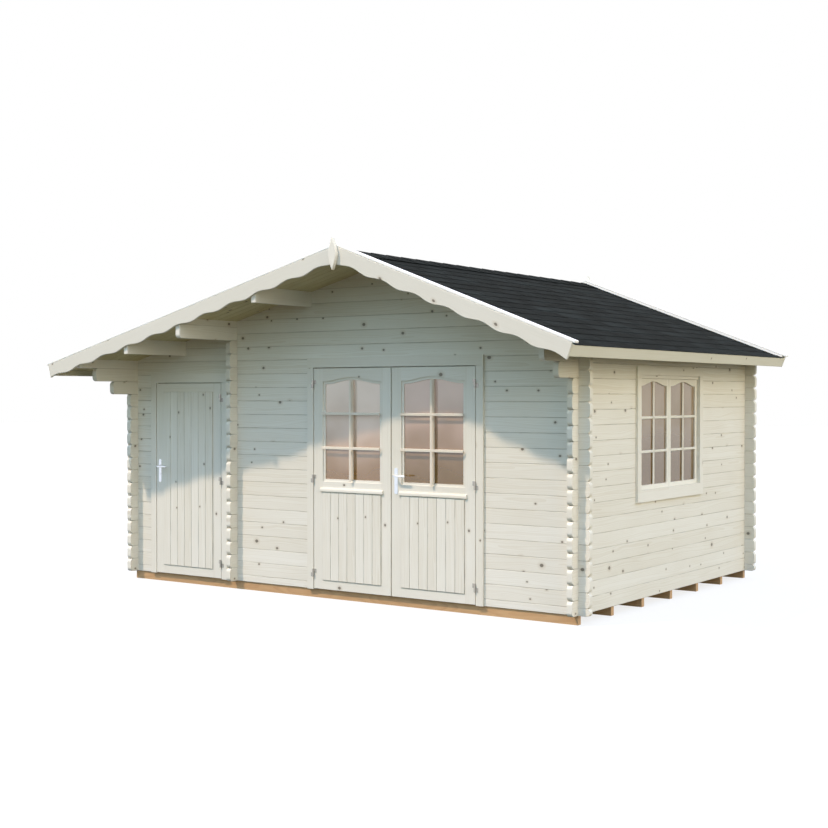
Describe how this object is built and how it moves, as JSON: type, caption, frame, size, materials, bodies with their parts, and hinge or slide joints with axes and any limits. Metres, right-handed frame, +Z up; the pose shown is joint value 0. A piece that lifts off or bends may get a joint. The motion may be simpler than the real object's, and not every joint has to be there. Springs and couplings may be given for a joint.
{
  "type": "log cabin",
  "caption": "Garden log cabin with interlocking log corners, an uneven gable roof with scalloped barge boards, a glazed double door and a store room with its own door.",
  "frame": {"origin": "middle of the roof's outline in plan, on the ground under the bearers", "axes": "+Z up, -Y towards the gable with the doors, +X towards the wall with the window"},
  "size_m": [5.252, 4.0662, 2.8303],
  "materials": {
    "wall_logs": "pale painted softwood logs",
    "joinery": "pale painted planed softwood",
    "treated_wood": "brown treated softwood",
    "roof_felt": "matt mineral felt",
    "pane": "clear glass",
    "fittings": "satin steel"
  },
  "bodies": {
    "cabin": {"floor_bearers": "treated_wood", "main_floor": "joinery", "store_floor": "joinery", "front_wall_left": "wall_logs", "front_wall_middle": "wall_logs", "front_wall_right": "wall_logs", "front_gable": "wall_logs", "back_wall": "wall_logs", "left_wall": "wall_logs", "right_wall": "wall_logs", "partition_wall": "wall_logs", "purlins": "wall_logs", "roof_boards_left": "joinery", "roof_boards_right": "joinery", "roof_covering_left": "roof_felt", "roof_covering_right": "roof_felt", "front_barge_boards": "joinery", "back_barge_boards": "joinery", "front_cover_strips": "joinery", "back_cover_strips": "joinery", "finials": "joinery", "eave_boards": "joinery", "main_door_frame": "joinery", "main_door_casing": "joinery", "main_frame_hinges": "fittings", "store_door_frame": "joinery", "store_door_casing": "joinery", "store_frame_hinges": "fittings", "window_frame": "joinery", "window_casing": "joinery", "window_sashes": "joinery", "window_glass": "pane"},
    "left_door": {"left_leaf": "joinery", "left_leaf_panel": "joinery", "left_leaf_glass": "pane", "left_leaf_hinges": "fittings"},
    "right_door": {"right_leaf": "joinery", "right_leaf_panel": "joinery", "right_leaf_glass": "pane", "right_leaf_hinges": "fittings", "main_handle_plates": "fittings"},
    "right_door_lever": {"main_handle_lever": "fittings"},
    "store_door": {"store_leaf": "joinery", "store_leaf_panel": "joinery", "store_leaf_hinges": "fittings", "store_handle_plates": "fittings"},
    "store_door_lever": {"store_handle_lever": "fittings"}
  },
  "joints": [
    {"name": "left_door_hinge", "type": "hinge", "parent": "cabin", "child": "left_door", "pos_m": [-0.16497, -1.3178, 0.0773], "axis": [0, 0, -1], "range_deg": [0, 110]},
    {"name": "right_door_hinge", "type": "hinge", "parent": "cabin", "child": "right_door", "pos_m": [1.40403, -1.3178, 0.0773], "axis": [0, 0, 1], "range_deg": [0, 110]},
    {"name": "right_door_lever_turn", "type": "hinge", "parent": "right_door", "child": "right_door_lever", "pos_m": [0.66853, -1.3065, 1.0273], "axis": [0, 1, 0], "range_deg": [0, 45], "stiffness_Nm_per_rad": 1.5, "springref_deg": -11.46},
    {"name": "store_door_hinge", "type": "hinge", "parent": "cabin", "child": "store_door", "pos_m": [-1.19196, -1.3178, 0.0773], "axis": [0, 0, 1], "range_deg": [0, 110]},
    {"name": "store_door_lever_turn", "type": "hinge", "parent": "store_door", "child": "store_door_lever", "pos_m": [-1.92746, -1.3065, 1.0273], "axis": [0, 1, 0], "range_deg": [0, 45], "stiffness_Nm_per_rad": 1.5, "springref_deg": -11.46}
  ]
}
